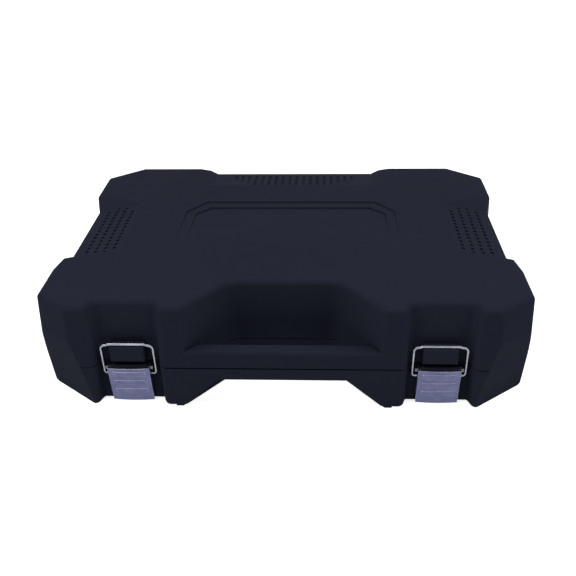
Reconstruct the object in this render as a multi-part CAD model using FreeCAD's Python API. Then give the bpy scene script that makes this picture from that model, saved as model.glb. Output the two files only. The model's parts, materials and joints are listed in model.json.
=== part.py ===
"""Socket wrench set in a moulded carry case, closed, as separate pieces in millimetres.

+X is the case's right side, +Y its back and +Z up. The origin is the middle of the
closed case's box, on the surface that the case lies on.
"""
import FreeCAD, Part
import math
import os

Vector = FreeCAD.Vector
X_AXIS = Vector(1, 0, 0)
Y_AXIS = Vector(0, 1, 0)
Z_AXIS = Vector(0, 0, 1)

# Case, measured at the parting line unless it says otherwise
case_width = 387.0
body_depth = 294.0          # front face to the back of the rear pods
case_height = 90.0
parting_height = 36.5
wall = 3.0
lid_draft = 2.0             # how far the lid's sides lean in from the parting line to the top
base_draft = 1.0            # how far the base's sides lean in from the parting line to the bottom
corner_radius = 5.0
hand_corner_radius = 16.0   # at the back of the hand hole
edge_radius = 4.5           # of the lid's top edge
foot_radius = 3.0           # of the base's bottom edge
parting_chamfer = 0.7
fit_gap = 0.2               # between the shells and what is seated in them
seat_gap = 0.4              # between a tool and the sides of its pocket

# Plan of the case
front_cut_x = 28.5
front_cut_y = 22.5
rear_cut_x = 33.5
rear_cut_y = 28.5
front_pod_width = 17.5      # flat front face between the latch recess and the corner
recess_width = 53.0         # latch recess, at the front face
recess_depth = 11.0
recess_low_depth = 8.5      # the same at the bottom of the base
recess_flare = 3.5
post_width = 18.0           # between the latch recess and the hand hole
hand_flare = 34.5           # how much wider the hand hole is at its front, on each side
hand_depth = 43.5
side_inset = 5.5            # the sides step in between the front and rear pods
front_pod_end = -84.0
front_step_end = -49.5
rear_step_end = 49.5
rear_pod_end = 69.0
back_inset = 6.0            # the back steps in between the rear pods
back_pod_half = 97.5
back_step_half = 83.0

# Lower facets of the four corners
facet_top = 65.0
facet_lean = 10.0           # inwards from the top of the facet to the bottom of the case

# Handle
bar_depth = 13.5
bar_top = 51.5
bar_radius = 2.5
seam_height = 1.0           # shadow gap under the lid, along the handle's front
seam_depth = 1.4
arch_half = 50.0
arch_height = 26.5
arch_foot = 3.0

# Sunken panels in the lid's top
side_panel_inner = 143.0
side_panel_drop = 10.5
side_panel_lean = 1.65
back_panel_inner = 94.0
back_panel_half = 80.0
back_panel_drop = 4.8
back_panel_lean = 2.0
dimple_radius = 1.8
dimple_depth = 1.2
dimple_pitch = 7.0
side_dimple_step = 8.5      # between the columns, which are staggered
side_dimple_first = -47.0
side_dimple_x = 149.5
side_dimple_counts = [12, 14, 14, 14]
back_dimple_columns = 18
back_dimple_rows = 5
back_dimple_full = 2        # rows at the back with all columns; each row before them is shorter
back_dimple_first = 98.0
frame_half = 98.0
frame_back = 53.5
frame_cut_x = 17.5
frame_cut_y = 23.5
frame_fade = -34.0
frame_drop = 1.6
inner_frame_half = 89.5
inner_frame_back = 43.5
inner_frame_cut_x = 14.3
inner_frame_cut_y = 15.5
inner_frame_drop = 1.4
frame_wall_lean = 0.5

# Hinge at the back
hinge_radius = 4.5
hinge_setback = 0.5         # axis behind the rear pods
hinge_spread = 50.0
knuckle_width = 12.0
knuckle_gap = 0.4
hinge_pin_radius = 1.5
pin_clearance = 0.05
hinge_web_height = 8.0

# Latches
lever_width = 33.0
lever_length = 35.0
lever_tilt = 10.5           # degrees, free end inwards
lever_sheet = 1.2
lever_bulge = 0.9
lever_over_pivot = 2.6      # plate above the pivot
lever_standoff = 5.0        # plate's outer face in front of the pivot
pivot_below_parting = 3.0
pivot_from_wall = 5.0
latch_pin_radius = 1.5
latch_pin_head = 2.2        # pin past each flange
latch_knuckle_radius = 3.0
latch_side_gap = 0.9
latch_web_height = 3.0       # web below the pivot that joins a knuckle to the wall
bail_wire_radius = 1.05
bail_half = 20.5
bail_anchor_back = 0.7      # anchor behind the pivot, so that the latch locks over centre
bail_anchor_drop = 6.5
bail_length = 28.5          # anchor to the bar that hooks over the catch
bail_lean = 6.0             # degrees, outwards at the top
bail_crown = 0.8            # how much higher the bar is over the catch than at its ends
bail_crown_half = 14.4
bail_crown_step = 1.6
bail_crown_bend = 0.6
bail_corner = 3.8
bail_foot_bend = 2.4
bail_clearance = 0.1
bail_rest_gap = 0.35
catch_width = 27.0
catch_height = 14.0
catch_lip = 2.0             # catch in front of the bar's centre
catch_radius = 1.5
rib_count = 3
rib_pitch = 9.1
rib_height = 4.0
rib_relief = 0.5
rib_first = 1.0             # from the pivot down to the first rib
rib_width = 25.0
rib_edge = 0.4

# Tray and liner
tray_deck = 24.0
tray_sheet = 2.0
cup_wall = 1.6
lying_above_deck = 4.8      # middle of a lying tool above the tray's deck
plug_above_deck = 6.0       # the same for the spark plug socket
liner_ceiling = 66.0
liner_sheet = 2.0
inner_front_margin = 4.0    # shells stay solid in front of this line behind the latch recess

# Large ratchet; the small one has the same parts at small_scale
ratchet_head_radius = 21.0
ratchet_neck_radius = 12.5
ratchet_neck_offset = 17.0
ratchet_head_height = 24.0
ratchet_floor = 4.0
ratchet_wall = 3.2
ratchet_cover_sheet = 2.5
ratchet_cover_lip = 2.0
ratchet_gear_tip = 12.5
ratchet_tooth_depth = 1.2
ratchet_teeth = 36
ratchet_journal = 10.5
ratchet_drive_neck = 2.0
ratchet_drive_length = 15.0
ratchet_square = 12.7
ratchet_shank_radius = 7.5
ratchet_shank_end = 112.0
ratchet_length = 228.0      # head centre to the end of the grip
ratchet_tang_radius = 5.0
ratchet_grip_radius = 14.5
ratchet_grip_front = [(0.0, 0.82), (1.0, 1.0), (8.0, 1.0), (14.0, 0.82), (40.0, 0.97)]
ratchet_grip_back = [(20.0, 1.0), (6.0, 0.9), (0.0, 0.6)]
ratchet_button_radius = 4.0
ratchet_button_rise = 3.0
ratchet_button_travel = 2.0
ratchet_stem_radius = 2.0
ratchet_stem_length = 9.0
ratchet_selector_radius = 5.5
ratchet_selector_shaft = 3.0
ratchet_selector_height = 4.0
ratchet_tab_length = 15.0
ratchet_tab_width = 6.0
ratchet_pawl_radius = 7.0
ratchet_screw_radius = 1.8
ratchet_screw_angles = [130.0, -130.0, 70.0, -70.0]
small_scale = 0.6
running_gap = 0.1

# Sockets and bars
drive_square = 12.7
drive_depth = 16.0
large_sizes_back = [32.0, 30.0, 27.0, 24.0, 22.0, 21.0, 19.0]
large_sizes_front = [17.0, 16.0, 15.0, 14.0, 13.0, 12.0, 10.0]
large_length = 38.0
large_wall = 1.5
large_growth = 1.25
large_drive_diameter = 22.0
small_sizes = [13.0, 12.0, 11.0, 10.0, 9.0, 8.0, 7.0, 6.0, 5.5, 5.0]
small_length = 25.0
small_sunk = 13.0           # how deep the small sockets stand in the tray
small_wall = 1.1
small_growth = 1.22
small_square = 6.35
small_drive_diameter = 11.8
small_drive_depth = 9.0
socket_edge = 0.04          # chamfer of a socket's ends, as a share of its diameter
socket_waist = 0.45         # where a socket starts to widen, as a share of its length
socket_groove_low = 0.18
socket_groove_high = 0.28
socket_groove_depth = 0.03
square_clearance = 0.15
hex_clearance = 0.1
plug_socket_size = 21.0
plug_socket_length = 65.0
plug_socket_diameter = 28.5
plug_insert_length = 12.0
plug_insert_wall = 2.5
bar_lengths = [250.0, 125.0]
bar_radius_thin = 6.5
bar_socket_radius = 10.8
bar_socket_length = 26.0
bar_ring = 2.0              # ring behind the square, wider than the bar
bar_ring_length = 8.0
bar_edge = 1.0
bar_detent_radius = 2.2

# Universal joint, standing on its socket end
fork_radius = 12.0
fork_ear_half = 4.2
fork_slot_half = 6.6
fork_reach = 14.0           # from the cross to the bottom of a fork's slot
fork_ear_end = 6.0
fork_hub = 14.0
upper_hub = 4.0
upper_square = 12.0
cross_half = 6.4
trunnion_radius = 3.0
trunnion_half = 11.6
joint_swing_room = 16.0

# Hex bits
bit_shank = 6.35
bit_length = 25.0
bit_shank_length = 15.0
bit_collar = 1.5
bit_sizes = [8.0, 7.0, 6.0, 5.5, 5.0, 4.0, 3.0, 2.5]
bit_pitch = 14.0
bit_floor = 14.0

# Places in the tray
sockets_left = -156.0
row_gap = 7.0
ratchet_x = -132.0
bars_left = -154.0
small_ratchet_x = 8.0
small_row_left = -112.0
joint_place = (148.0, -12.0)
plug_place = (148.0, 28.0)
bit_from_side = 75.5        # first bit's middle from the case's side
bit_from_front = 37.5
compartment_from_side = 53.5
compartment_from_front = 36.5
compartment_size = (62.0, 26.0)
compartment_depth = 16.0

# Worked out from the sizes above
half_width = case_width / 2
hinge_reach = hinge_setback + hinge_radius
front_y = -(body_depth + hinge_reach) / 2
back_y = front_y + body_depth
hinge_y = back_y + hinge_setback
lid_height = case_height - parting_height
front_pod_x = half_width - front_cut_x
recess_outer = front_pod_x - front_pod_width
recess_inner = recess_outer - recess_width
hand_front_half = recess_inner - post_width
hand_back_half = hand_front_half - hand_flare
latch_x = (recess_outer + recess_inner) / 2
recess_y = front_y + recess_depth
pivot_y = recess_y - pivot_from_wall
pivot_height = parting_height - pivot_below_parting
void_front = recess_y + inner_front_margin
tray_floor = wall + tray_sheet
bit_place = (half_width - bit_from_side, front_y + bit_from_front)
compartment_place = (compartment_from_side - half_width, front_y + compartment_from_front)
lying_height = tray_deck + lying_above_deck
plug_height = tray_deck + plug_above_deck

# Rows of tools with equal spaces between their pockets, from the hand hole to the back wall
row_halves = [
    (small_growth * small_sizes[0] + 2 * small_wall) / 2,
    ratchet_head_radius * small_scale,
    bar_socket_radius,
    ratchet_head_radius,
    (large_growth * large_sizes_front[0] + 2 * large_wall) / 2,
    (large_growth * large_sizes_back[0] + 2 * large_wall) / 2,
]
pocket_halves = [half + seat_gap + cup_wall for half in row_halves]
rows_front = front_y + hand_depth + wall
rows_back = back_y - back_inset - wall
row_space = (rows_back - rows_front - 2 * sum(pocket_halves)) / (len(pocket_halves) + 1)
row_middles = []
for half in pocket_halves:
    used = 2 * sum(pocket_halves[:len(row_middles)])
    row_middles.append(rows_front + used + half + row_space * (len(row_middles) + 1))
small_row_y, short_row_y, long_row_y, ratchet_row_y, front_row_y, back_row_y = row_middles
ratchet_place = (ratchet_x, ratchet_row_y)
long_bar_place = (bars_left, long_row_y)
short_bar_place = (bars_left, short_row_y)
small_ratchet_place = (small_ratchet_x, short_row_y)


def save(shape, node):
    """Writes one sub-part under its node's name."""
    shape.exportStep("parts/" + node + ".step")


def solid_of(shape):
    """The single solid of a boolean's result."""
    return shape.removeSplitter().Solids[0]


def box(low, high):
    """A box between two corners."""
    size = Vector(*high) - Vector(*low)
    return Part.makeBox(size.x, size.y, size.z, Vector(*low))


def cylinder(radius, low, high, x=0.0, y=0.0):
    """An upright cylinder."""
    return Part.makeCylinder(radius, high - low, Vector(x, y, low))


def rod(radius, left, right, y=0.0, z=0.0):
    """A cylinder along X."""
    return Part.makeCylinder(radius, right - left, Vector(left, y, z), X_AXIS)


def spun(profile, axis=Z_AXIS):
    """A solid turned about an axis through the origin from points (distance along, radius)."""
    side = X_AXIS if axis == Z_AXIS else Z_AXIS
    points = [axis * along + side * radius for along, radius in profile]
    return Part.Face(Part.makePolygon(points + points[:1])).revolve(Vector(), axis, 360)


def prism(points, low, high):
    """An upright prism on plan points."""
    outline = [Vector(x, y, low) for x, y in points]
    return Part.Face(Part.makePolygon(outline + outline[:1])).extrude(Z_AXIS * (high - low))


def regular(across, low, high, sides, x=0.0, y=0.0):
    """An upright square or hexagon of a given size across its flats."""
    reach = across / 2 / math.cos(math.pi / sides)
    angles = [2 * math.pi * (i + 0.5) / sides for i in range(sides)]
    return prism([(x + reach * math.cos(a), y + reach * math.sin(a)) for a in angles], low, high)


def mirrored(points):
    """A closed plan from the points of its right half, front to back."""
    return points + [(-x, y) for x, y in reversed(points)]


def inset(points, distance):
    """A plan with each side moved inwards by a distance."""
    lines = []
    for i, (x0, y0) in enumerate(points):
        x1, y1 = points[(i + 1) % len(points)]
        length = math.hypot(x1 - x0, y1 - y0)
        along = ((x1 - x0) / length, (y1 - y0) / length)
        lines.append((x0 - along[1] * distance, y0 + along[0] * distance, along))
    moved = []
    for i, (bx, by, b) in enumerate(lines):
        ax, ay, a = lines[i - 1]
        step = ((bx - ax) * b[1] - (by - ay) * b[0]) / (a[0] * b[1] - a[1] * b[0])
        moved.append((ax + a[0] * step, ay + a[1] * step))
    return moved


def plan_back():
    """The plan's right half from the front corner to the back."""
    return [
        (front_pod_x, front_y),
        (half_width, front_y + front_cut_y),
        (half_width, front_pod_end),
        (half_width - side_inset, front_step_end),
        (half_width - side_inset, rear_step_end),
        (half_width, rear_pod_end),
        (half_width, back_y - rear_cut_y),
        (half_width - rear_cut_x, back_y),
        (back_pod_half, back_y),
        (back_step_half, back_y - back_inset),
    ]


def case_plan():
    """The case's plan at the parting line, with the hand hole and latch recesses."""
    front = [
        (hand_back_half, front_y + hand_depth),
        (hand_front_half, front_y),
        (recess_inner, front_y),
        (recess_inner + recess_flare, recess_y),
        (recess_outer - recess_flare, recess_y),
        (recess_outer, front_y),
    ]
    return mirrored(front + plan_back())


def filled_plan():
    """The same plan without the hand hole and the latch recesses."""
    return mirrored(plan_back())


def lofted(plan, levels):
    """A form through (height, inset) levels of one plan."""
    wires = []
    for height, distance in levels:
        points = [Vector(x, y, height) for x, y in inset(plan, distance)]
        wires.append(Part.makePolygon(points + points[:1]))
    return Part.makeLoft(wires, True, True)


def upright_edges(form, in_hand):
    """A form's upright edges: those at the back of the hand hole, or all others."""
    reach = hand_back_half + hand_corner_radius
    found = []
    for edge in form.Edges:
        tall = abs(edge.Vertexes[0].Z - edge.Vertexes[-1].Z) > wall
        x, y = edge.CenterOfMass.x, edge.CenterOfMass.y
        near = abs(x) < reach and abs(y - front_y - hand_depth) < hand_corner_radius
        if tall and near == in_hand:
            found.append(edge)
    return found


def rounded_sides(form, hand_radius):
    """Rounds a form's upright edges, with a radius of their own at the back of the hand hole."""
    form = form.makeFillet(hand_radius, upright_edges(form, True))
    return form.makeFillet(corner_radius, upright_edges(form, False))


def edges_at(form, height):
    """A form's edges that lie flat at a height."""
    return [e for e in form.Edges if all(abs(v.Z - height) < 1e-6 for v in e.Vertexes)]


def lid_inset(height):
    """How far the lid's sides lean in at a height."""
    return lid_draft * (height - parting_height) / lid_height


def base_inset(height):
    """How far the base's sides lean in at a height."""
    return base_draft * (parting_height - height) / parting_height


def corner_facets(extra):
    """Cutters that lean the corners in below the facets' top, grown by a distance."""
    corners = [
        ((front_pod_x, front_y), (half_width, front_y + front_cut_y)),
        ((half_width, back_y - rear_cut_y), (half_width - rear_cut_x, back_y)),
    ]
    tilt = math.degrees(math.atan2(facet_lean, facet_top))
    margin = case_width / 4
    cutters = []
    for (x0, y0), (x1, y1) in corners:
        length = math.hypot(x1 - x0, y1 - y0)
        block = box((-margin, -margin, -2 * case_height), (length + margin, extra, 0))
        block.rotate(Vector(), X_AXIS, tilt)
        block.rotate(Vector(), Z_AXIS, math.degrees(math.atan2(y1 - y0, x1 - x0)))
        block.translate(Vector(x0, y0, facet_top))
        cutters += [block, block.mirror(Vector(), X_AXIS)]
    return cutters


def wedge(stations, near_y, far_y, near_lean, far_lean, extra):
    """A cutter for a sunken panel: its floor falls along X and its two ends lean outwards."""
    ceiling = case_height + side_panel_drop
    wires = []
    for x, floor in stations:
        rise = ceiling - floor
        points = [
            Vector(x, near_y - extra, floor - extra),
            Vector(x, far_y + extra, floor - extra),
            Vector(x, far_y + extra + far_lean * rise, ceiling),
            Vector(x, near_y - extra - near_lean * rise, ceiling),
        ]
        wires.append(Part.makePolygon(points + points[:1]))
    return Part.makeLoft(wires, True, True)


def side_panel_slope():
    """The fall of a side panel for each millimetre outwards."""
    return side_panel_drop / (half_width - side_inset - lid_draft - side_panel_inner)


def back_panel_slope():
    """The fall of the back panel for each millimetre backwards."""
    return back_panel_drop / (back_y - back_inset - lid_draft - back_panel_inner)


def panel_cutters(extra):
    """Cutters for the two side panels and the back panel, grown by a distance."""
    margin = side_panel_drop
    slope = side_panel_slope()
    inner, outer = side_panel_inner - margin, half_width + margin
    stations = [(x, case_height - slope * (x - side_panel_inner)) for x in (inner, outer)]
    lean = side_panel_lean
    right = wedge(stations, front_step_end, rear_step_end, lean, lean, extra)
    left = right.mirror(Vector(), X_AXIS)
    slope = back_panel_slope()
    inner, outer = back_panel_inner - margin, back_y + margin
    stations = [(y, case_height - slope * (y - back_panel_inner)) for y in (inner, outer)]
    lean = back_panel_lean
    back = wedge(stations, -back_panel_half, back_panel_half, lean, lean, extra)
    back.rotate(Vector(), Z_AXIS, 90)
    return [right, left, back]


def frame_cutter(half, back, cut_x, cut_y, drop, extra):
    """A cutter for one step of the sunken frame, deepest at the back and fading to the front."""
    half = half + extra
    back = back + extra
    length = back - frame_fade
    plan = mirrored([(half, frame_fade), (half, back - cut_y), (half - cut_x, back)])
    levels = [(case_height - drop - extra, frame_wall_lean * drop), (case_height + drop, 0.0)]
    block = lofted(plan, levels)
    tilt = math.degrees(math.atan2(drop, length))
    keep = Part.makeBox(4 * half, 2 * length, 4 * drop, Vector(-2 * half, 0, -extra))
    keep.rotate(Vector(), X_AXIS, -tilt)
    keep.translate(Vector(0, frame_fade, case_height))
    return block.common(keep)


def frame_cutters(extra):
    """Both steps of the sunken frame, grown by a distance."""
    outer = frame_cutter(frame_half, frame_back, frame_cut_x, frame_cut_y, frame_drop, extra)
    inner = frame_cutter(
        inner_frame_half, inner_frame_back, inner_frame_cut_x, inner_frame_cut_y,
        frame_drop + inner_frame_drop, extra)
    return [outer, inner]


def dimples():
    """Cutters for the rows of dimples in the sunken panels."""
    cutters = []
    slope = side_panel_slope()
    normal = Vector(slope, 0, 1).normalize()
    for column, count in enumerate(side_dimple_counts):
        x = side_dimple_x + column * side_dimple_step
        z = case_height - slope * (x - side_panel_inner)
        start = side_dimple_first + (1 - column % 2) * dimple_pitch / 2
        for row in range(count):
            y = start + row * dimple_pitch
            foot = Vector(x, y, z) - normal * dimple_depth
            cut = Part.makeCylinder(dimple_radius, 2 * dimple_depth, foot, normal)
            cutters += [cut, cut.mirror(Vector(), X_AXIS)]
    slope = back_panel_slope()
    normal = Vector(0, slope, 1).normalize()
    for row in range(back_dimple_rows):
        y = back_dimple_first + row * dimple_pitch
        z = case_height - slope * (y - back_panel_inner)
        skipped = max(0, back_dimple_rows - back_dimple_full - row)
        for column in range(skipped, back_dimple_columns - skipped):
            x = (column - (back_dimple_columns - 1) / 2) * dimple_pitch
            foot = Vector(x, y, z) - normal * dimple_depth
            cutters.append(Part.makeCylinder(dimple_radius, 2 * dimple_depth, foot, normal))
    return cutters


def knuckles(side):
    """Hinge knuckles of the base (side -1) or of the lid (side 1), with their webs."""
    pieces = []
    step = knuckle_width + knuckle_gap
    offsets = [0.0] if side > 0 else [-step, step]
    for centre in (-hinge_spread, hinge_spread):
        for offset in offsets:
            left = centre + offset - knuckle_width / 2
            right = left + knuckle_width
            web = box(
                (left, back_y - back_inset - wall / 2, parting_height - hinge_web_height),
                (right, hinge_y, parting_height))
            if side > 0:
                web.translate(Vector(0, 0, hinge_web_height))
            bore = rod(hinge_pin_radius + pin_clearance, left, right, hinge_y, parting_height)
            barrel = rod(hinge_radius, left, right, hinge_y, parting_height)
            pieces.append(barrel.fuse(web).cut(bore))
    return pieces


def bar_piece(levels, low, high):
    """The stretch of a drafted form that spans the hand hole at the front."""
    reach = hand_front_half + post_width / 2
    span = box((-reach, front_y - wall, low), (reach, front_y + bar_depth, high))
    return lofted(filled_plan(), levels).common(span)


def lid_bar():
    """Upper half of the handle, with a rounded top."""
    levels = [(parting_height, 0.0), (case_height, lid_draft)]
    bar = bar_piece(levels, parting_height, bar_top)
    long_edges = [e for e in edges_at(bar, bar_top) if e.Length > hand_front_half]
    return bar.makeFillet(bar_radius, long_edges)


def handle_seam():
    """A cutter for the shadow gap under the lid, along the handle and its posts."""
    return box(
        (-recess_inner, front_y - wall, parting_height),
        (recess_inner, front_y + seam_depth, parting_height + seam_height))


def base_bar():
    """Lower half of the handle, an arch between the two posts."""
    levels = [(0.0, base_draft), (parting_height, 0.0)]
    bar = bar_piece(levels, 0.0, parting_height)
    slope = (arch_height - arch_foot) / (hand_front_half - arch_half)
    foot_half = hand_front_half + arch_foot / slope
    profile = [(-foot_half, 0.0), (-arch_half, arch_height), (arch_half, arch_height), (foot_half, 0.0)]
    points = [Vector(x, front_y - wall, z) for x, z in profile]
    arch = Part.Face(Part.makePolygon(points + points[:1])).extrude(Y_AXIS * (bar_depth + 2 * wall))
    return bar.cut(arch)


def anchor():
    """Where a bail's feet turn in a lever, as Y and Z."""
    turn = math.radians(lever_tilt)
    c, s = math.cos(turn), math.sin(turn)
    return (
        pivot_y + bail_anchor_back * c + bail_anchor_drop * s,
        pivot_height - bail_anchor_drop * c + bail_anchor_back * s)


def bail_bar():
    """The middle of a bail's bar, as Y and Z."""
    y, z = anchor()
    turn = math.radians(bail_lean)
    return y - bail_length * math.sin(turn), z + bail_length * math.cos(turn)


def catch_blocks():
    """Blocks on the lid that the bails hook over."""
    bar_y, bar_z = bail_bar()
    top = bar_z - bail_wire_radius - bail_rest_gap
    pieces = []
    for x in (-latch_x, latch_x):
        block = box(
            (x - catch_width / 2, bar_y - catch_lip, top - catch_height),
            (x + catch_width / 2, recess_y + wall / 2, top))
        front = [e for e in block.Edges if all(v.Y < recess_y for v in e.Vertexes)]
        pieces.append(block.makeFillet(catch_radius, front))
    return pieces


def lid_shell():
    """Upper half of the case: a drafted shell with sunken panels, hinge knuckles and catches."""
    form = lofted(case_plan(), [(parting_height, 0.0), (case_height, lid_draft)])
    form = rounded_sides(form, hand_corner_radius)
    form = form.makeFillet(edge_radius, edges_at(form, case_height))
    form = form.makeChamfer(parting_chamfer, edges_at(form, parting_height))
    form = form.cut(panel_cutters(0.0) + corner_facets(0.0)).cut(frame_cutters(0.0))
    ceiling = case_height - wall
    shoulder = ceiling - edge_radius
    below = parting_height - wall
    levels = [
        (below, wall + lid_inset(below)),
        (shoulder, wall + lid_inset(shoulder)),
        (ceiling, wall + lid_inset(ceiling) + edge_radius),
    ]
    void = lofted(case_plan(), levels)
    void = void.cut(panel_cutters(wall) + corner_facets(wall)).cut(frame_cutters(wall))
    void = void.common(box((-case_width, void_front, 0), (case_width, case_width, case_height)))
    form = form.fuse(lid_bar()).cut(void).cut(dimples() + [handle_seam()])
    return solid_of(form.fuse(knuckles(1) + catch_blocks()))


def latch_knuckles():
    """Knuckles on the base that carry the latch pins."""
    half = lever_width / 2 - lever_sheet - latch_side_gap
    pieces = []
    for x in (-latch_x, latch_x):
        barrel = rod(latch_knuckle_radius, x - half, x + half, pivot_y, pivot_height)
        web = box(
            (x - half, pivot_y, pivot_height - latch_web_height),
            (x + half, recess_y + base_inset(pivot_height) + wall / 2, pivot_height))
        bore = rod(latch_pin_radius + pin_clearance, x - half, x + half, pivot_y, pivot_height)
        pieces.append(barrel.fuse(web).cut(bore))
    return pieces


def recess_feet():
    """Fillings that make the base's latch recesses shallower towards the bottom."""
    deep, low = recess_y + wall, front_y + recess_low_depth + base_draft
    top = parting_height - parting_chamfer
    profile = [(deep, 0.0), (low + foot_radius, 0.0), (low, foot_radius), (recess_y, top), (deep, top)]
    half = (recess_width - recess_flare) / 2
    pieces = []
    for x in (-latch_x, latch_x):
        points = [Vector(x - half, y, z) for y, z in profile]
        pieces.append(Part.Face(Part.makePolygon(points + points[:1])).extrude(X_AXIS * 2 * half))
    return pieces


def base_room(gap):
    """The space inside the base, kept a gap off its walls."""
    side = wall + gap
    shoulder = wall + foot_radius
    above = parting_height + wall
    levels = [
        (wall, side + base_inset(wall) + foot_radius),
        (shoulder, side + base_inset(shoulder)),
        (above, side + base_inset(above)),
    ]
    room = lofted(case_plan(), levels).cut(corner_facets(side))
    return room.common(box((-case_width, void_front + gap, 0), (case_width, case_width, case_height)))


def base_shell():
    """Lower half of the case: a drafted tub with hinge and latch knuckles and the handle's arch."""
    form = lofted(case_plan(), [(0.0, base_draft), (parting_height, 0.0)])
    form = rounded_sides(form, hand_corner_radius)
    form = form.makeFillet(foot_radius, edges_at(form, 0.0))
    form = form.makeChamfer(parting_chamfer, edges_at(form, parting_height))
    form = form.cut(corner_facets(0.0)).fuse([base_bar()] + recess_feet())
    return solid_of(form.cut(base_room(0.0)).fuse(knuckles(-1) + latch_knuckles()))


def hinge_pins():
    """The two steel hinge pins, as separate solids."""
    half = 1.5 * knuckle_width + knuckle_gap
    pins = []
    for x in (-hinge_spread, hinge_spread):
        pins.append(rod(hinge_pin_radius, x - half, x + half, hinge_y, parting_height))
    return Part.makeCompound(pins)


def latch_lever(x):
    """A pressed lever: a bowed plate with ribs and two flanges that hold the pin and the bail."""
    half = lever_width / 2
    radius = (half ** 2 + lever_bulge ** 2) / (2 * lever_bulge)
    centre_y = pivot_y - lever_standoff + radius
    top = pivot_height + lever_over_pivot
    bottom = top - lever_length
    face_y = pivot_y - lever_standoff
    window = box(
        (x - half, face_y - lever_sheet, bottom),
        (x + half, face_y + lever_bulge + lever_sheet, top))
    hollow = cylinder(radius - lever_sheet, bottom, top, x, centre_y)
    plate = cylinder(radius, bottom, top, x, centre_y).cut(hollow).common(window)
    edge = -lever_standoff + lever_bulge + lever_sheet / 2
    over, low = lever_over_pivot, lever_over_pivot - lever_length
    back = bail_anchor_back + 2 * bail_wire_radius
    hole = -bail_anchor_drop
    flange_plan = [
        (edge, over), (latch_pin_radius, over), (back, 0.0), (back, hole),
        (bail_anchor_back, hole - 2 * bail_wire_radius), (edge + lever_sheet, low / 2),
        (edge + lever_sheet / 2, low), (edge, low),
    ]
    pieces = [plate]
    for left in (x - half, x + half - lever_sheet):
        points = [Vector(left, pivot_y + y, pivot_height + z) for y, z in flange_plan]
        flange = Part.Face(Part.makePolygon(points + points[:1])).extrude(X_AXIS * lever_sheet)
        pieces.append(flange)
    for i in range(rib_count):
        low = pivot_height - rib_first - i * rib_pitch - rib_height
        rib = cylinder(radius + rib_relief, low, low + rib_height, x, centre_y)
        rib = rib.cut(cylinder(radius - lever_sheet / 2, low, low + rib_height, x, centre_y))
        span = box(
            (x - rib_width / 2, face_y - lever_sheet, low),
            (x + rib_width / 2, pivot_y, low + rib_height))
        rib = rib.common(span)
        outer = [f for f in rib.Faces if abs(getattr(f.Surface, "Radius", 0) - radius - rib_relief) < 1e-6]
        pieces.append(rib.makeFillet(rib_edge, outer[0].Edges))
    lever = pieces[0].fuse(pieces[1:])
    pin_hole = rod(latch_pin_radius + pin_clearance, x - half, x + half, pivot_y, pivot_height)
    wire_hole = rod(
        bail_wire_radius + bail_clearance, x - half, x + half,
        pivot_y + bail_anchor_back, pivot_height - bail_anchor_drop)
    lever = solid_of(lever.cut([pin_hole, wire_hole]))
    lever.rotate(Vector(x, pivot_y, pivot_height), X_AXIS, lever_tilt)
    return lever


def bail_path(x):
    """The centre line of a bail: two feet turned inwards, two legs and the bar that hooks on."""
    foot = lever_width / 2 - lever_sheet - latch_side_gap / 2
    y, low = anchor()
    top = low + bail_length
    end, step = top - bail_crown, bail_crown_half + bail_crown_step
    right = [(bail_crown_half, top), (step, end), (bail_half, end), (bail_half, low)]
    bends = [bail_crown_bend, bail_crown_bend, bail_corner, bail_foot_bend]
    route = [(-foot, low)] + [(-px, pz) for px, pz in reversed(right)] + right + [(foot, low)]
    bends = bends[::-1] + bends
    edges = []
    last = Vector(x - foot, y, low)
    for i, bend in enumerate(bends):
        before, corner, after = [Vector(x + px, y, pz) for px, pz in route[i:i + 3]]
        enter = (before - corner).normalize()
        leave = (after - corner).normalize()
        start = corner + enter * bend
        end = corner + leave * bend
        half_turn = enter.getAngle(leave) / 2
        inwards = (enter + leave).normalize()
        middle = corner + inwards * bend * (1 - math.sin(half_turn)) / math.cos(half_turn)
        edges.append(Part.LineSegment(last, start).toShape())
        edges.append(Part.Arc(start, middle, end).toShape())
        last = end
    edges.append(Part.LineSegment(last, Vector(x + foot, y, low)).toShape())
    return Part.Wire(edges)


def latch_bail(x):
    """The wire loop of a latch."""
    path = bail_path(x)
    start = path.Edges[0].Vertexes[0].Point
    ring = Part.Wire(Part.makeCircle(bail_wire_radius, start, X_AXIS))
    bail = path.makePipeShell([ring], True, True).Solids[0]
    bail.rotate(start, X_AXIS, bail_lean)
    return bail


def latch_pin(x):
    """The pivot pin of a latch."""
    half = lever_width / 2 + latch_pin_head
    return rod(latch_pin_radius, x - half, x + half, pivot_y, pivot_height)


def lid_liner():
    """Inner wall of the lid, a dish seated inside the lid's rim."""
    gap = wall + fit_gap
    top = liner_ceiling + liner_sheet
    below = parting_height - liner_sheet
    outer = lofted(case_plan(), [(parting_height, gap), (top, gap + lid_inset(top))])
    inside = gap + liner_sheet
    levels = [(below, inside + lid_inset(below)), (liner_ceiling, inside + lid_inset(liner_ceiling))]
    inner = rounded_sides(lofted(case_plan(), levels), corner_radius)
    front = void_front + fit_gap
    outer = outer.common(box((-case_width, front, 0), (case_width, case_width, case_height)))
    inner = inner.common(
        box((-case_width, front + liner_sheet, 0), (case_width, case_width, case_height)))
    return solid_of(outer.cut(corner_facets(gap)).cut(inner.cut(corner_facets(inside))))


def square_drive(size, low, high):
    """An upright square with a small detent ball on its front side."""
    ball = Part.makeSphere(bar_detent_radius * size / drive_square)
    ball.translate(Vector(0, -size / 2 + bar_detent_radius * size / drive_square / 2, (low + high) / 2))
    return regular(size, low, high, 4).fuse(ball)


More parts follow.
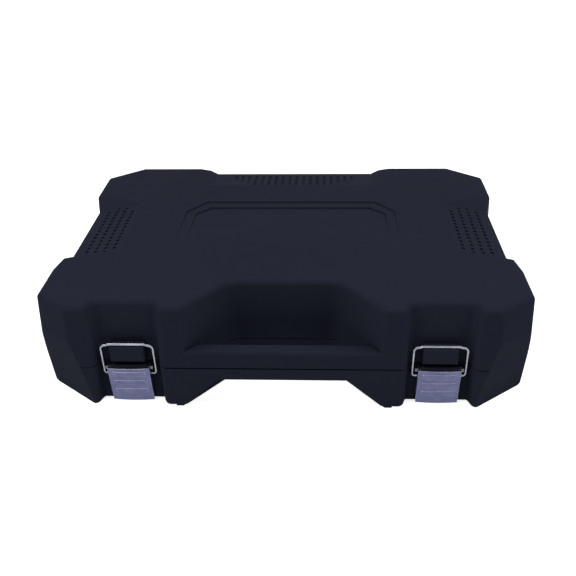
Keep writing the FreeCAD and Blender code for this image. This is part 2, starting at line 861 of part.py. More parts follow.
def pear(head, offset, neck, low, high):
    """An upright prism whose plan is two circles joined by their tangents."""
    turn = math.acos((head - neck) / offset)
    c, s = math.cos(turn), math.sin(turn)
    a, b = Vector(head * c, head * s, low), Vector(offset + neck * c, neck * s, low)
    d, e = Vector(offset + neck * c, -neck * s, low), Vector(head * c, -head * s, low)
    edges = [
        Part.LineSegment(a, b).toShape(),
        Part.Arc(b, Vector(offset + neck, 0, low), d).toShape(),
        Part.LineSegment(d, e).toShape(),
        Part.Arc(e, Vector(-head, 0, low), a).toShape(),
    ]
    return Part.Face(Part.Wire(edges)).extrude(Z_AXIS * (high - low))


def ratchet_pieces(k, square):
    """A ratchet's parts by name, at scale k, with its head's centre above the origin."""
    height = ratchet_head_height * k
    floor = ratchet_floor * k
    offset = ratchet_neck_offset * k
    lid_low = height - ratchet_cover_sheet * k
    axis_z = height / 2
    cover_head = (ratchet_head_radius - ratchet_wall) * k
    cover_neck = (ratchet_neck_radius - ratchet_wall) * k
    lip = ratchet_cover_lip * k
    journal = ratchet_journal * k
    stem = ratchet_stem_radius * k
    shaft = ratchet_selector_shaft * k
    tang = ratchet_tang_radius * k
    shank = ratchet_shank_radius * k
    shank_end = ratchet_shank_end * k
    length = ratchet_length * k
    grip = ratchet_grip_radius * k

    body = pear(ratchet_head_radius * k, offset, ratchet_neck_radius * k, 0, height)
    body = body.makeFillet(k, edges_at(body, 0) + edges_at(body, height))
    body = body.fuse([
        rod(shank, offset, shank_end, 0, axis_z),
        rod(tang, shank_end, length - grip, 0, axis_z),
    ])
    body = body.cut([
        pear(cover_head - lip, offset, cover_neck - lip, floor, height),
        pear(cover_head, offset, cover_neck, lid_low, height),
        cylinder(journal + running_gap, -floor, floor),
    ])

    gear_low, gear_high = floor + running_gap, lid_low - running_gap
    tip = ratchet_gear_tip * k
    root = tip - ratchet_tooth_depth * k
    step = math.pi / ratchet_teeth
    rim = [(root if i % 2 else tip, i * step) for i in range(2 * ratchet_teeth)]
    gear = prism([(r * math.cos(a), r * math.sin(a)) for r, a in rim], gear_low, gear_high)
    neck_low = -ratchet_drive_neck * k
    end = neck_low - ratchet_drive_length * k
    drive = gear.fuse([cylinder(journal, neck_low, gear_low), square_drive(square, end, neck_low)])
    button = ratchet_button_radius * k
    well_low = gear_high - ratchet_button_travel * k
    drive = drive.cut([
        cylinder(stem + running_gap, lid_low - ratchet_stem_length * k, height),
        cylinder(button + running_gap, well_low, height),
    ])

    rise = height + ratchet_button_rise * k
    cover = pear(cover_head - running_gap, offset, cover_neck - running_gap, lid_low, height)
    cover = cover.cut([
        cylinder(button + running_gap, lid_low, height),
        cylinder(shaft + running_gap, lid_low, height, offset),
    ])
    screw = ratchet_screw_radius * k
    screw_turn = cover_head - lip - screw
    screws = []
    for angle in ratchet_screw_angles:
        turn = math.radians(angle)
        x, y = screw_turn * math.cos(turn), screw_turn * math.sin(turn)
        screws.append(cylinder(screw, lid_low, height, x, y))
    cover = cover.cut(screws)

    release = spun([
        (lid_low, 0), (lid_low, button), (rise - k, button), (rise, button - k), (rise, 0)])
    release = release.fuse(cylinder(stem, lid_low - ratchet_stem_length * k / 2, lid_low))

    pawl = cylinder(ratchet_pawl_radius * k, gear_low, gear_high, offset)
    pawl = pawl.common(box((offset - k, -offset, 0), (2 * offset, offset, height)))
    top = height + ratchet_selector_height * k
    tab_half = ratchet_tab_width * k / 2
    selector = cylinder(ratchet_selector_radius * k, height + running_gap, top, offset)
    tab = box(
        (offset, -tab_half, height + running_gap), (offset + ratchet_tab_length * k, tab_half, top - k))
    selector = selector.fuse([tab, cylinder(shaft, gear_high, top - k, offset)])

    profile = [(shank_end, 0)]
    profile += [(shank_end + along * k, radius * grip) for along, radius in ratchet_grip_front]
    profile += [(length - along * k, radius * grip) for along, radius in ratchet_grip_back]
    handle = spun(profile + [(length, 0)], X_AXIS)
    handle.translate(Z_AXIS * axis_z)
    handle = handle.cut(rod(tang, shank_end, length - grip, 0, axis_z))
    return {
        "body": solid_of(body), "grip": solid_of(handle), "drive": solid_of(drive),
        "pawl": solid_of(pawl), "selector": solid_of(selector), "cover": solid_of(cover),
        "cover_screws": Part.makeCompound(screws), "release_button": solid_of(release),
    }


def shoulder_height(length, outer, drive_outer):
    """Height in a socket where its outside reaches the mouth's diameter and its hexagon starts."""
    return socket_waist * length + abs(outer - drive_outer) / 2 + socket_edge * outer


def socket(size, length, outer, drive_outer, square, depth):
    """A hexagon socket standing on its drive end."""
    edge = socket_edge * outer
    shoulder = shoulder_height(length, outer, drive_outer)
    r, d = outer / 2, drive_outer / 2
    low, high = socket_groove_low * length, socket_groove_high * length
    inner = d - socket_groove_depth * drive_outer
    slope = d - inner
    profile = [
        (0, 0), (0, d - edge), (edge, d), (low, d), (low + slope, inner), (high - slope, inner),
        (high, d), (socket_waist * length, d), (shoulder, r), (length - edge, r), (length, r - edge),
        (length, 0),
    ]
    mouth = size + 2 * hex_clearance
    reach = mouth / math.sqrt(3)
    lead = spun([(length - edge, 0), (length - edge, reach - edge), (length, reach), (length, 0)])
    bore = min(square, size) / 2
    body = spun(profile).cut([
        regular(mouth, shoulder, length, 6),
        cylinder(bore, 0, length),
        regular(square + 2 * square_clearance, 0, depth, 4),
        lead,
    ])
    return solid_of(body)


def large_outer(size):
    """Outside diameter of a large socket at its mouth."""
    return large_growth * size + 2 * large_wall


def small_outer(size):
    """Outside diameter of a small socket at its mouth."""
    return small_growth * size + 2 * small_wall


def large_socket(size):
    """A large socket."""
    outer = large_outer(size)
    drive_outer = max(large_drive_diameter, (outer + large_drive_diameter) / 2)
    return socket(size, large_length, outer, drive_outer, drive_square, drive_depth)


def small_socket(size):
    """A small socket."""
    outer = small_outer(size)
    drive_outer = max(small_drive_diameter, outer)
    return socket(size, small_length, outer, drive_outer, small_square, small_drive_depth)


def plug_socket():
    """A long socket for spark plugs, lying along Y from the origin."""
    return socket(
        plug_socket_size, plug_socket_length, plug_socket_diameter, large_drive_diameter,
        drive_square, drive_depth)


def plug_insert():
    """The rubber ring that grips a plug, deep inside the long socket."""
    low = shoulder_height(plug_socket_length, plug_socket_diameter, large_drive_diameter)
    radius = plug_socket_size / 2
    ring = cylinder(radius, low, low + plug_insert_length)
    return ring.cut(cylinder(radius - plug_insert_wall, low, low + plug_insert_length))


def extension_bar(length):
    """An extension bar along X: a square at its left end and a socket end at its right."""
    square = square_drive(drive_square, 0, drive_depth)
    square.rotate(Vector(), Y_AXIS, 90)
    start = length - bar_socket_length
    widening = bar_socket_radius - bar_radius_thin
    ring = bar_radius_thin + bar_ring
    ring_low, ring_high = drive_depth + bar_edge, drive_depth + bar_ring_length
    profile = [
        (drive_depth, 0), (drive_depth, ring - bar_edge), (ring_low, ring), (ring_high - bar_ring, ring),
        (ring_high, bar_radius_thin), (start, bar_radius_thin), (start + widening, bar_socket_radius),
        (length - bar_edge, bar_socket_radius), (length, bar_socket_radius - bar_edge), (length, 0),
    ]
    hole = regular(drive_square + 2 * square_clearance, length - drive_depth, length, 4)
    hole.rotate(Vector(), Y_AXIS, 90)
    return solid_of(spun(profile, X_AXIS).fuse(square).cut(hole))


def lower_fork():
    """The universal joint's lower fork, whose ears hold the cross along X."""
    pivot = fork_hub + fork_reach
    body = cylinder(fork_radius, 0, pivot + fork_ear_end)
    sides = 2 * fork_radius
    body = body.cut([
        box((-fork_slot_half, -sides, fork_hub), (fork_slot_half, sides, sides * 2)),
        box((-sides, fork_ear_half, fork_hub), (sides, sides, sides * 2)),
        box((-sides, -sides, fork_hub), (sides, -fork_ear_half, sides * 2)),
        regular(drive_square + 2 * square_clearance, 0, fork_hub - wall, 4),
        rod(trunnion_radius + pin_clearance, -fork_radius, fork_radius, 0, pivot),
    ])
    return solid_of(body)


def cross():
    """The universal joint's block with its four trunnions."""
    pivot = fork_hub + fork_reach
    block = box((-cross_half, -cross_half, pivot - cross_half), (cross_half, cross_half, pivot + cross_half))
    along_y = Part.makeCylinder(trunnion_radius, 2 * trunnion_half, Vector(0, -trunnion_half, pivot), Y_AXIS)
    return solid_of(block.fuse([rod(trunnion_radius, -trunnion_half, trunnion_half, 0, pivot), along_y]))


def upper_fork():
    """The universal joint's upper fork with its square."""
    pivot = fork_hub + fork_reach
    low, hub = pivot - fork_ear_end, pivot + fork_reach
    body = cylinder(fork_radius, low, hub + upper_hub)
    sides = 2 * fork_radius
    body = body.cut([
        box((-sides, -fork_slot_half, 0), (sides, fork_slot_half, hub)),
        box((fork_ear_half, -sides, 0), (sides, sides, hub)),
        box((-sides, -sides, 0), (-fork_ear_half, sides, hub)),
        Part.makeCylinder(
            trunnion_radius + pin_clearance, 2 * fork_radius, Vector(0, -fork_radius, pivot), Y_AXIS),
    ])
    top = hub + upper_hub
    return solid_of(body.fuse(square_drive(drive_square, top, top + upper_square)))


def hex_bit(size):
    """A hex bit standing on its shank."""
    shank = regular(bit_shank, 0, bit_shank_length, 6)
    neck = (bit_shank + min(size, bit_shank)) / 4
    low, high = bit_shank_length, bit_shank_length + bit_collar
    collar = spun([(low, 0), (low, bit_shank / 2), (high, neck), (high, 0)])
    tip = regular(size, high, bit_length, 6)
    return solid_of(shank.fuse([collar, tip]))


def row_places(outers, left, y):
    """Centres of round tools side by side from a left edge, with equal gaps."""
    places = []
    for outer in outers:
        places.append((left + outer / 2, y))
        left = left + outer + row_gap
    return places


def bit_places():
    """Centres of the bits, in two rows."""
    half = len(bit_sizes) // 2
    x, y = bit_place
    return [(x + (i % half) * bit_pitch, y - (i // half) * bit_pitch) for i in range(len(bit_sizes))]


def cup(radius, floor, place):
    """A round pocket: the space inside it and the space with its wall."""
    x, y = place
    inside = cylinder(radius, floor, case_height, x, y)
    return inside, cylinder(radius + cup_wall, floor - tray_sheet, tray_deck, x, y)


def trough(radius, left, right, y, z):
    """A pocket for a round bar along X: the space inside it and the space with its wall."""
    inside = rod(radius, left, right, y, z)
    outside = rod(radius + cup_wall, left - cup_wall, right + cup_wall, y, z)
    return inside, outside.common(box((-case_width, -case_width, 0), (case_width, case_width, tray_deck)))


def ratchet_pockets(k, place, head_z):
    """Pockets for a ratchet's head, drive and grip. Its shank lies above the deck."""
    x, y = place
    axis_z = head_z + ratchet_head_height * k / 2
    gap = seat_gap
    spaces = []
    for extra, low, high in ((gap, head_z, case_height), (gap + cup_wall, head_z - tray_sheet, tray_deck)):
        head = pear(
            ratchet_head_radius * k + extra, ratchet_neck_offset * k,
            ratchet_neck_radius * k + extra, low, high)
        head.translate(Vector(x, y, 0))
        spaces.append(head)
    drop = (ratchet_drive_neck + ratchet_drive_length) * k + tray_sheet
    well = (ratchet_journal + 2 * ratchet_drive_neck) * k
    length = ratchet_length * k + gap
    return [
        tuple(spaces),
        cup(well, head_z - drop, place),
        trough(ratchet_grip_radius * k + gap, x + ratchet_shank_end * k - gap, x + length, y, axis_z),
    ]


def bar_pockets(length, place):
    """Pockets for an extension bar."""
    x, y = place
    gap = seat_gap
    z = lying_height
    start = x + length - bar_socket_length
    return [
        trough(drive_square / math.sqrt(2) + gap, x - gap, start, y, z),
        trough(bar_socket_radius + gap, start, x + length + gap, y, z),
    ]


def plug_pocket():
    """A pocket for the long socket, which lies along Y."""
    x, y = plug_place
    radius = plug_socket_diameter / 2 + seat_gap
    z = plug_height
    low, high = y - seat_gap, y + plug_socket_length + seat_gap
    inside = Part.makeCylinder(radius, high - low, Vector(x, low, z), Y_AXIS)
    outside = Part.makeCylinder(
        radius + cup_wall, high - low + 2 * cup_wall, Vector(x, low - cup_wall, z), Y_AXIS)
    below = box((-case_width, -case_width, 0), (case_width, case_width, tray_deck))
    return inside, outside.common(below)


def joint_pockets():
    """A stepped pocket for the universal joint, with room above for its swing."""
    swing = tray_floor + fork_hub - wall
    return [cup(fork_radius + seat_gap, tray_floor, joint_place), cup(joint_swing_room, swing, joint_place)]


def compartment():
    """The open compartment for small parts at the tray's front left."""
    x, y = compartment_place
    half_x, half_y = compartment_size[0] / 2, compartment_size[1] / 2
    floor = tray_deck - compartment_depth
    inside = box((x - half_x, y - half_y, floor), (x + half_x, y + half_y, case_height))
    outside = box(
        (x - half_x - cup_wall, y - half_y - cup_wall, floor - tray_sheet),
        (x + half_x + cup_wall, y + half_y + cup_wall, tray_deck))
    return inside, outside


def tool_tray(round_tools, pockets):
    """Inner wall of the base: a deck with a cup or trough for every tool."""
    deck = box((-case_width, -case_width, tray_deck - tray_sheet), (case_width, case_width, tray_deck))
    pairs = pockets + [cup(radius + seat_gap, floor, place) for radius, floor, place in round_tools]
    tray = deck.fuse([outside for inside, outside in pairs]).common(base_room(fit_gap))
    return solid_of(tray.cut([inside for inside, outside in pairs]))


def placed(shape, x, y, z):
    """A copy of a shape moved to its place."""
    copy = shape.copy()
    copy.translate(Vector(x, y, z))
    return copy


def save_ratchet(prefix, k, square, place, head_z):
    """Writes the parts of one ratchet at its place."""
    for name, shape in ratchet_pieces(k, square).items():
        save(placed(shape, place[0], place[1], head_z), prefix + "_" + name)


def save_sockets():
    """Writes all upright sockets and gives their radius, floor and place for the tray."""
    round_tools = []
    for sizes, y in ((large_sizes_back, back_row_y), (large_sizes_front, front_row_y)):
        outers = [max(large_outer(size), large_drive_diameter) for size in sizes]
        for size, outer, place in zip(sizes, outers, row_places(outers, sockets_left, y)):
            save(placed(large_socket(size), place[0], place[1], tray_floor), "socket_%gmm" % size)
            round_tools.append((outer / 2, tray_floor, place))
    outers = [max(small_outer(size), small_drive_diameter) for size in small_sizes]
    floor = tray_deck - small_sunk
    for size, outer, place in zip(small_sizes, outers, row_places(outers, small_row_left, small_row_y)):
        name = ("small_socket_%gmm" % size).replace(".", "_")
        save(placed(small_socket(size), place[0], place[1], floor), name)
        round_tools.append((outer / 2, floor, place))
    return round_tools


def save_bits():
    """Writes the hex bits as one group and gives their radius, floor and place for the tray."""
    bits = [placed(hex_bit(size), x, y, bit_floor) for size, (x, y) in zip(bit_sizes, bit_places())]
    save(Part.makeCompound(bits), "hex_bits")
    reaches = [max(bit_shank, size) / math.sqrt(3) for size in bit_sizes]
    return [(reach, bit_floor, place) for reach, place in zip(reaches, bit_places())]


def save_lying_tools():
    """Writes the bars, the long socket and the universal joint."""
    z = lying_height
    for node, length, place in zip(
            ("long_extension_bar", "short_extension_bar"), bar_lengths, (long_bar_place, short_bar_place)):
        save(placed(extension_bar(length), place[0], place[1], z), node)
    for node, shape in (("spark_plug_socket", plug_socket()), ("spark_plug_insert", plug_insert())):
        shape.rotate(Vector(), X_AXIS, -90)
        save(placed(shape, plug_place[0], plug_place[1], plug_height), node)
    for node, shape in (("lower_fork", lower_fork()), ("cross", cross()), ("upper_fork", upper_fork())):
        save(placed(shape, joint_place[0], joint_place[1], tray_floor), "universal_joint_" + node)


def save_case():
    """Writes the shells, the liner, the hinge pins and the latches."""
    save(base_shell(), "base_shell")
    save(lid_shell(), "lid_shell")
    save(lid_liner(), "lid_liner")
    save(hinge_pins(), "hinge_pins")
    for side, x in (("left", -latch_x), ("right", latch_x)):
        save(latch_lever(x), side + "_latch_lever")
        save(latch_bail(x), side + "_latch_bail")
        save(latch_pin(x), side + "_latch_pin")


def main():
    """Builds every sub-part of the closed case."""
    os.makedirs("parts", exist_ok=True)
    save_case()
    drop = ratchet_drive_neck + ratchet_drive_length + tray_sheet
    head_z = tray_floor + drop
    small_head_z = lying_height - ratchet_head_height * small_scale / 2
    save_ratchet("ratchet", 1.0, ratchet_square, ratchet_place, head_z)
    save_ratchet("small_ratchet", small_scale, small_square, small_ratchet_place, small_head_z)
    save_lying_tools()
    round_tools = save_sockets() + save_bits()
    pockets = ratchet_pockets(1.0, ratchet_place, head_z)
    pockets += ratchet_pockets(small_scale, small_ratchet_place, small_head_z)
    pockets += bar_pockets(bar_lengths[0], long_bar_place) + bar_pockets(bar_lengths[1], short_bar_place)
    pockets += [plug_pocket(), compartment()] + joint_pockets()
    save(tool_tray(round_tools, pockets), "tool_tray")


main()
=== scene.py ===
# %% [markdown]
# A socket wrench set in its moulded carry case.
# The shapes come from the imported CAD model, which is loaded as a fixed frame.
# This file adds what CAD leaves out: the camera, the light and the finish of every surface.
# Lengths are in metres. +X is the case's right side, +Y its hinges and +Z is up.

# %% Load the frame
import json
import math

import bpy
from mathutils import Matrix, Vector

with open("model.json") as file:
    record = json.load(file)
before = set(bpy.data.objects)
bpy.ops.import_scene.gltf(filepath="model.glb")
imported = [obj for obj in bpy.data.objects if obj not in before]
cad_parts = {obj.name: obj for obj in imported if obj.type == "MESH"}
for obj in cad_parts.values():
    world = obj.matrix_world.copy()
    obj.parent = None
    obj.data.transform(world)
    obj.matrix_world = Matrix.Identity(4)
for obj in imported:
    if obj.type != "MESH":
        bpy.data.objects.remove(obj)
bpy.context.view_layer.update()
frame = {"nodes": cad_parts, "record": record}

nodes = frame["nodes"]


# %% [markdown]
# The photograph was taken from in front and above, a little to the right of the middle.
# A camera could be placed by eye, but then no edge would line up with the photograph.
# Here its place and its three turns were fitted to corners of the case, so the render can
# be laid over the photograph.

# %% Camera
CAMERA_PLACE = (0.0312, -0.6554, 0.3953)
CAMERA_PITCH = math.radians(29.47)
CAMERA_YAW = math.radians(2.91)
CAMERA_ROLL = math.radians(-1.18)
CAMERA_NEAR = 0.01
SENSOR_WIDTH = 36.0
LENS = 50.03

camera_data = bpy.data.cameras.new("camera")
camera_data.sensor_width = SENSOR_WIDTH
camera_data.lens = LENS
camera_data.clip_start = CAMERA_NEAR
camera = bpy.data.objects.new("camera", camera_data)
bpy.context.scene.collection.objects.link(camera)
turn = Matrix.Rotation(CAMERA_YAW, 4, "Z")
turn = turn @ Matrix.Rotation(math.pi / 2 - CAMERA_PITCH, 4, "X")
turn = turn @ Matrix.Rotation(CAMERA_ROLL, 4, "Z")
camera.matrix_world = Matrix.Translation(CAMERA_PLACE) @ turn
bpy.context.scene.camera = camera
print("camera at", CAMERA_PLACE, "lens", LENS)

# %% [markdown]
# Every finish below is a tree of shader nodes. Small helpers keep these trees short: they
# start a material, add a node with its settings and give values to its inputs. The last one
# tells rays that are seen from rays that only carry light, so that the paper and the room
# can look white without lighting the case too much.

# %% Materials and nodes
WHITE = (1.0, 1.0, 1.0, 1.0)


def new_material(name):
    """A material with its node tree and the shader that every finish starts from."""
    material = bpy.data.materials.new(name)
    material.use_nodes = True
    tree = material.node_tree
    return material, tree, tree.nodes["Principled BSDF"]


def set_inputs(node, values):
    """Gives values to a node's inputs by their names."""
    for name, value in values.items():
        node.inputs[name].default_value = value


def add_node(tree, kind, inputs=None, **properties):
    """Adds a node with its properties, and with values for its inputs."""
    node = tree.nodes.new(kind)
    for name, value in properties.items():
        setattr(node, name, value)
    set_inputs(node, inputs or {})
    return node


def seen_ray(tree):
    """A mask that is 1 for rays from the camera and for reflections, and 0 for lighting."""
    path = add_node(tree, "ShaderNodeLightPath")
    mask = path.outputs["Is Camera Ray"]
    for kind in ("Is Glossy Ray", "Is Transmission Ray"):
        either = add_node(tree, "ShaderNodeMath", operation="MAXIMUM")
        tree.links.new(mask, either.inputs[0])
        tree.links.new(path.outputs[kind], either.inputs[1])
        mask = either.outputs[0]
    return mask


print("helpers for materials and nodes are ready")

# %% [markdown]
# The case lies on a plain white sweep. The floor is a large plane, made with the same
# operator that the Add menu uses. It takes the case's soft shadow, and seen by the camera
# it is lifted to white, as paper is under studio light.

# %% Floor
FLOOR_SIZE = 12.0
FLOOR_COLOUR = (0.9, 0.9, 0.9, 1.0)
FLOOR_LIFT = 0.84

bpy.ops.object.select_all(action="DESELECT")
bpy.ops.mesh.primitive_plane_add(size=FLOOR_SIZE, location=(0, 0, 0))
floor = bpy.context.object
floor.name = "floor"
floor_material, tree, shader = new_material("white_sweep")
set_inputs(shader, {"Base Color": FLOOR_COLOUR, "Emission Color": WHITE})
set_inputs(shader, {"Roughness": 1.0, "Specular IOR Level": 0.0})
lift = add_node(tree, "ShaderNodeMath", operation="MULTIPLY")
lift.inputs[1].default_value = FLOOR_LIFT
tree.links.new(seen_ray(tree), lift.inputs[0])
tree.links.new(lift.outputs[0], shader.inputs["Emission Strength"])
floor.data.materials.append(floor_material)
print("floor", FLOOR_SIZE, "m wide")

# %% [markdown]
# A product photograph of a black case needs large, soft lamps: they show the edges as broad
# gentle bands. Two area lamps stand above, and the world gives a weak fill from all sides.
# Seen directly or in a reflection the world is plain white, like the paper.

# %% Light
KEY = {"place": (-0.75, -0.35, 1.25), "size": 1.1, "power": 13.0}
FILL = {"place": (0.95, -0.20, 1.10), "size": 0.9, "power": 9.5}
WORLD_FILL = 0.17
WORLD_SEEN = 1.0


def area_lamp(name, place, size, power):
    """Adds a square area lamp that points at the middle of the case."""
    data = bpy.data.lights.new(name, "AREA")
    data.size = size
    data.energy = power
    lamp = bpy.data.objects.new(name, data)
    lamp.location = place
    lamp.rotation_euler = (-Vector(place)).to_track_quat("-Z", "Y").to_euler()
    bpy.context.scene.collection.objects.link(lamp)


area_lamp("key_lamp", **KEY)
area_lamp("fill_lamp", **FILL)
world = bpy.data.worlds.new("white_room")
bpy.context.scene.world = world
world.use_nodes = True
tree = world.node_tree
background = tree.nodes["Background"]
set_inputs(background, {"Color": WHITE})
strength = add_node(tree, "ShaderNodeMapRange", {"To Min": WORLD_FILL, "To Max": WORLD_SEEN})
tree.links.new(seen_ray(tree), strength.inputs["Value"])
tree.links.new(strength.outputs["Result"], background.inputs["Strength"])
bpy.context.scene.view_settings.view_transform = "Standard"
print("lamps:", KEY["power"], "W and", FILL["power"], "W, world", WORLD_FILL)

# %% [markdown]
# No real surface is even. A noise gives drift in colour and gloss, and a finer one gives
# relief. All noises read Object coordinates, so they stay on the piece when it moves.
# A Mix node has sockets of the same name for every kind of value, so the ones for colours
# are taken by number.

# %% Noise, colour and relief
NOISE_LOW = 0.3
NOISE_HIGH = 0.7
NOISE_ROUGHNESS = 0.5
MIX_FIRST = 6
MIX_SECOND = 7
MIX_RESULT = 2


def noise(tree, scale, detail, roughness=NOISE_ROUGHNESS):
    """A noise on the piece's own coordinates, with its scale in waves for each metre."""
    place = add_node(tree, "ShaderNodeTexCoord")
    settings = {"Scale": scale, "Detail": detail, "Roughness": roughness}
    texture = add_node(tree, "ShaderNodeTexNoise", settings)
    tree.links.new(place.outputs["Object"], texture.inputs["Vector"])
    return texture.outputs["Fac"]


def spread(tree, value, low, high, start=NOISE_LOW, end=NOISE_HIGH):
    """Maps a value, such as a noise, from one range to another."""
    settings = {"From Min": start, "From Max": end, "To Min": low, "To Max": high}
    ranged = add_node(tree, "ShaderNodeMapRange", settings)
    tree.links.new(value, ranged.inputs["Value"])
    return ranged.outputs["Result"]


def mixed(tree, mask, first, second):
    """A colour between two, by a mask. Each is a plain colour or the output of a node."""
    mix = add_node(tree, "ShaderNodeMix", data_type="RGBA")
    tree.links.new(mask, mix.inputs["Factor"])
    for number, colour in ((MIX_FIRST, first), (MIX_SECOND, second)):
        if isinstance(colour, tuple):
            mix.inputs[number].default_value = colour
        else:
            tree.links.new(colour, mix.inputs[number])
    return mix.outputs[MIX_RESULT]


def relief(tree, height, distance, normal):
    """A bump on a normal, with its height in metres."""
    bump = add_node(tree, "ShaderNodeBump", {"Distance": distance})
    tree.links.new(height, bump.inputs["Height"])
    tree.links.new(normal, bump.inputs["Normal"])
    return bump.outputs["Normal"]


print("noises are spread from", NOISE_LOW, "to", NOISE_HIGH)

# %% [markdown]
# Two places get a colour of their own: edges are painted paler, partly as hands rub them and
# partly as a painted highlight, and narrow seams are painted darker, as painted shade. They
# could be painted by hand, but a mask that finds them follows every change of the shape. A
# Bevel node gives the normal that a softened edge would have, so where it differs from the
# true one there is an edge. An Ambient Occlusion node tells how much of the open space a point
# sees, so it finds the seams where the shade is painted.

# %% Edges and seams
EDGE_SAMPLES = 4
SEAM_SAMPLES = 6
SEAM_REACH = 0.003
SEAM_OPEN = 0.85
SEAM_DEEP = 0.25


def edge_mask(tree, radius, gain):
    """A softened normal, and a mask of the edges that it softens."""
    soft = add_node(tree, "ShaderNodeBevel", {"Radius": radius}, samples=EDGE_SAMPLES)
    geometry = add_node(tree, "ShaderNodeNewGeometry")
    dot = add_node(tree, "ShaderNodeVectorMath", operation="DOT_PRODUCT")
    tree.links.new(soft.outputs["Normal"], dot.inputs[0])
    tree.links.new(geometry.outputs["Normal"], dot.inputs[1])
    mask = spread(tree, dot.outputs["Value"], 0.0, 1.0, start=1.0, end=1.0 - 1.0 / gain)
    return soft.outputs["Normal"], mask


def seam_shade_mask(tree):
    """A mask of narrow places, from 0 in the open to 1 deep in a seam, where shade is painted."""
    shade = add_node(tree, "ShaderNodeAmbientOcclusion", {"Distance": SEAM_REACH},
                     samples=SEAM_SAMPLES)
    return spread(tree, shade.outputs["AO"], 0.0, 1.0, start=SEAM_OPEN, end=SEAM_DEEP)


print("edges:", EDGE_SAMPLES, "samples, seams:", SEAM_SAMPLES, "samples within", SEAM_REACH, "m")

# %% [markdown]
# The case is blow-moulded polyethylene: nearly black with a blue tint, matt, with a fine
# spark-eroded grain from the mould. The grain is real relief, so it is made with a bump of
# fine noise. A second, slow noise lets the gloss drift, because a moulded wall cools
# unevenly. The edges are painted slightly paler, partly as handled plastic is and partly as a
# painted highlight, and the seams are painted darker, as painted shade.
# In the photograph the case hardly shines, even far back on the lid, where the view is flat.
# So its specular level is close to nothing. The tray has a little more sheen.

# %% Moulded plastic
PLASTIC_EDGE = 0.0008
PLASTIC_EDGE_GAIN = 6.0
PLASTIC_WEAR_AND_HIGHLIGHT = 0.6
CLOUD_SCALE = 9.0
CLOUD_DETAIL = 4.0
PLASTIC_GLOSS_SCALE = 60.0
PLASTIC_GLOSS_DETAIL = 5.0
GRAIN_DETAIL = 2.0
# Painted shade: the dark colour painted into seams and narrow places that ambient occlusion finds.
SEAM_SHADE_COLOUR = (0.0030, 0.0032, 0.0050, 1)


def moulded_plastic(name, dark, light, worn_and_highlight, gloss, specular, grain_scale, grain_height):
    """Matt moulded plastic with a mould grain, edges painted paler as wear and highlight, and painted
    shade in seams.
    """
    material, tree, shader = new_material(name)
    set_inputs(shader, {"Specular IOR Level": specular})
    normal, edges = edge_mask(tree, PLASTIC_EDGE, PLASTIC_EDGE_GAIN)
    clouds = spread(tree, noise(tree, CLOUD_SCALE, CLOUD_DETAIL), 0.0, 1.0)
    # Edges are painted paler: partly wear from hands, partly a painted highlight.
    wear_and_highlight = spread(tree, edges, 0.0, PLASTIC_WEAR_AND_HIGHLIGHT, start=0.0, end=1.0)
    body = mixed(tree, clouds, dark, light)
    body = mixed(tree, wear_and_highlight, body, worn_and_highlight)
    # Painted shade: seams and narrow places are darkened in the colour itself.
    body = mixed(tree, seam_shade_mask(tree), body, SEAM_SHADE_COLOUR)
    tree.links.new(body, shader.inputs["Base Color"])
    shine = noise(tree, PLASTIC_GLOSS_SCALE, PLASTIC_GLOSS_DETAIL)
    tree.links.new(spread(tree, shine, *gloss), shader.inputs["Roughness"])
    grain = relief(tree, noise(tree, grain_scale, GRAIN_DETAIL), grain_height, normal)
    tree.links.new(grain, shader.inputs["Normal"])
    return material


case_plastic = moulded_plastic(
    "case_plastic",
    dark=(0.0188, 0.0215, 0.0350, 1), light=(0.0201, 0.0229, 0.0370, 1), worn_and_highlight=(0.036, 0.039, 0.055, 1),
    gloss=(0.52, 0.62), specular=0.003, grain_scale=1600.0, grain_height=0.00006)
tray_plastic = moulded_plastic(
    "tray_plastic",
    dark=(0.0120, 0.0132, 0.0190, 1), light=(0.0160, 0.0174, 0.0240, 1), worn_and_highlight=(0.036, 0.038, 0.048, 1),
    gloss=(0.48, 0.60), specular=0.16, grain_scale=1900.0, grain_height=0.00005)
print("made", case_plastic.name, "and", tray_plastic.name)

# %% [markdown]
# The metal pieces are of several kinds. The latch levers are pressed from plated sheet, with
# a dull blue-grey skin and fine rub marks. The bails are drawn wire, and the pins are plated
# and darker. The tools are polished chrome, and the bits and the inner ratchet parts are
# dark tool steel. All are metals, so they differ in colour, in roughness and in the
# direction of their scratches, which come from a noise that is stretched along one axis.

# %% Metals
METAL_EDGE = 0.0004
METAL_EDGE_GAIN = 5.0
SKIN_SCALE = 140.0
SKIN_DETAIL = 5.0
SKIN_ROUGHNESS = 0.6
SHINE_SCALE = 260.0
SHINE_DETAIL = 6.0
SHINE_ROUGHNESS = 0.65
RUB_DETAIL = 3.0


def rub_marks(tree, waves):
    """A noise with its own number of waves for each metre along X, Y and Z."""
    place = add_node(tree, "ShaderNodeTexCoord")
    mapping = add_node(tree, "ShaderNodeMapping", {"Scale": waves})
    marks = add_node(tree, "ShaderNodeTexNoise", {"Scale": 1.0, "Detail": RUB_DETAIL})
    tree.links.new(place.outputs["Object"], mapping.inputs["Vector"])
    tree.links.new(mapping.outputs["Vector"], marks.inputs["Vector"])
    return marks.outputs["Fac"]


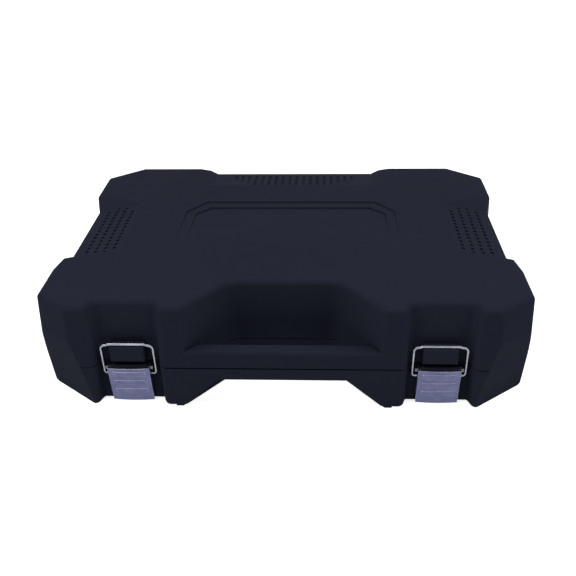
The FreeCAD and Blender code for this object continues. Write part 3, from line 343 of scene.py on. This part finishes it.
def metal(name, dark, light, worn_and_highlight, gloss, rub, rub_height):
    """A metal with drifting colour and gloss, edges painted paler as rubbing and highlight, and fine
    rub marks.
    """
    material, tree, shader = new_material(name)
    set_inputs(shader, {"Metallic": 1.0})
    normal, edges = edge_mask(tree, METAL_EDGE, METAL_EDGE_GAIN)
    drift = spread(tree, noise(tree, SKIN_SCALE, SKIN_DETAIL, SKIN_ROUGHNESS), 0.0, 1.0)
    skin = mixed(tree, drift, dark, light)
    # Edges are painted paler: partly rubbing, partly a painted highlight.
    tree.links.new(mixed(tree, edges, skin, worn_and_highlight), shader.inputs["Base Color"])
    shine = noise(tree, SHINE_SCALE, SHINE_DETAIL, SHINE_ROUGHNESS)
    tree.links.new(spread(tree, shine, *gloss), shader.inputs["Roughness"])
    marks = relief(tree, rub_marks(tree, rub), rub_height, normal)
    tree.links.new(marks, shader.inputs["Normal"])
    return material


# The latch plate's very pale edge colour is a painted highlight: it draws bright lines along the rib
# edges.
latch_plate = metal(
    "latch_plate",
    dark=(0.075, 0.079, 0.148, 1), light=(0.109, 0.113, 0.199, 1), worn_and_highlight=(0.62, 0.63, 0.72, 1),
    gloss=(0.32, 0.46), rub=(2400, 2400, 160), rub_height=0.00001)
drawn_wire = metal(
    "drawn_wire",
    dark=(0.19, 0.20, 0.23, 1), light=(0.31, 0.32, 0.36, 1), worn_and_highlight=(0.42, 0.43, 0.46, 1),
    gloss=(0.22, 0.36), rub=(900, 900, 900), rub_height=0.00001)
pin_plate = metal(
    "pin_plate",
    dark=(0.10, 0.10, 0.12, 1), light=(0.16, 0.16, 0.19, 1), worn_and_highlight=(0.22, 0.22, 0.25, 1),
    gloss=(0.35, 0.5), rub=(300, 2000, 2000), rub_height=0.00001)
chrome = metal(
    "chrome",
    dark=(0.60, 0.61, 0.63, 1), light=(0.74, 0.75, 0.77, 1), worn_and_highlight=(0.74, 0.75, 0.77, 1),
    gloss=(0.08, 0.2), rub=(600, 600, 3000), rub_height=0.000004)
tool_steel = metal(
    "tool_steel",
    dark=(0.16, 0.16, 0.17, 1), light=(0.26, 0.26, 0.27, 1), worn_and_highlight=(0.45, 0.45, 0.46, 1),
    gloss=(0.3, 0.45), rub=(1500, 1500, 300), rub_height=0.00001)
print("made", [m.name for m in (latch_plate, drawn_wire, pin_plate, chrome, tool_steel)])

# %% [markdown]
# The ratchets' grips are glossier injection-moulded plastic, and the ring inside the plug
# socket is rubber.

# %% Grips and rubber
grip_plastic = moulded_plastic(
    "grip_plastic",
    dark=(0.0080, 0.0080, 0.0090, 1), light=(0.0110, 0.0110, 0.0120, 1), worn_and_highlight=(0.03, 0.03, 0.032, 1),
    gloss=(0.28, 0.4), specular=0.45, grain_scale=900.0, grain_height=0.00004)
rubber = moulded_plastic(
    "rubber",
    dark=(0.0100, 0.0100, 0.0100, 1), light=(0.0150, 0.0150, 0.0150, 1), worn_and_highlight=(0.02, 0.02, 0.02, 1),
    gloss=(0.7, 0.85), specular=0.2, grain_scale=700.0, grain_height=0.00005)
print("made", grip_plastic.name, "and", rubber.name)

# %% [markdown]
# Each CAD node keeps its shape and gets its finish in its own material slot. The record's
# slot of a node says what it is made of, so the finishes are handed out by slot.

# %% Hand out the finishes
FINISHES = {
    "case_plastic": case_plastic,
    "tray_plastic": tray_plastic,
    "latch_steel": latch_plate,
    "wire": drawn_wire,
    "pin_steel": pin_plate,
    "chrome_tools": chrome,
    "tool_steel": tool_steel,
    "grip": grip_plastic,
    "insert_rubber": rubber,
}
for part in frame["record"]["subparts"]:
    mesh = nodes[part["node"]].data
    mesh.materials.clear()
    mesh.materials.append(FINISHES[part["material_slot"]])
print("finished", len(nodes), "nodes with", len(FINISHES), "finishes")
